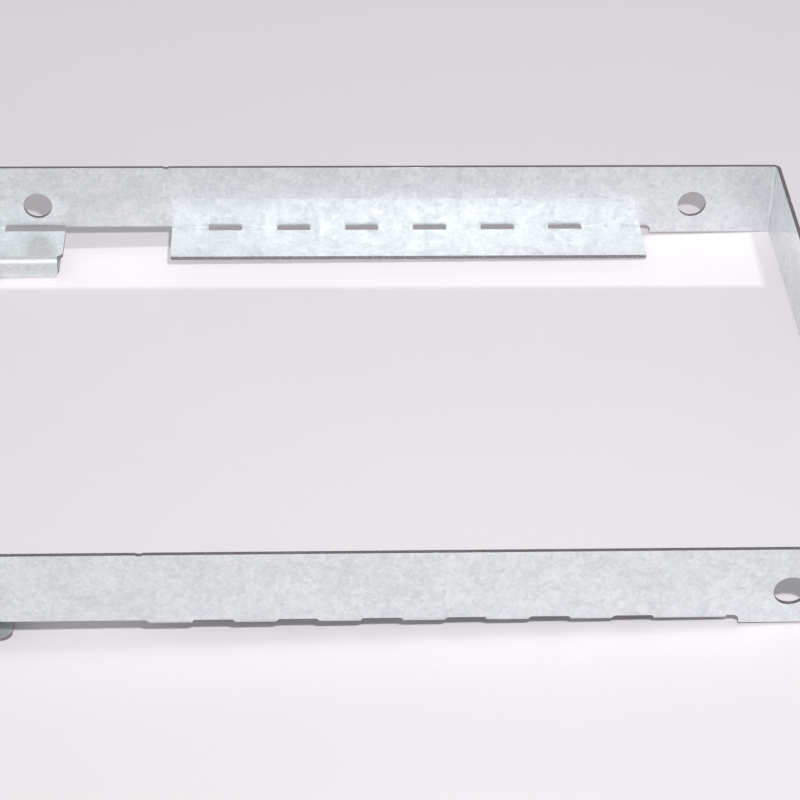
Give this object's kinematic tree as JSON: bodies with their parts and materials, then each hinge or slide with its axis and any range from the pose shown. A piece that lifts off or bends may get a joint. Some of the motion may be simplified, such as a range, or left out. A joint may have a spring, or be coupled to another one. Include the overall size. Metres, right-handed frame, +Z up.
{
  "type": "hard drive caddy",
  "caption": "Open U-shaped carrier folded from one galvanised sheet, with slotted lips that seat a slim drive, screw holes in its side walls and folded feet.",
  "frame": {"origin": "middle of the carrier's base, at the level of the feet's undersides", "axes": "+X along the side walls from the open end to the end web, +Y across the bay, +Z up out of the bay"},
  "size_m": [0.0962, 0.0712, 0.0109],
  "materials": {
    "galvanised_sheet": "satin zinc with a faint spangle"
  },
  "bodies": {
    "root": {"caddy_frame": "galvanised_sheet"}
  },
  "joints": []
}
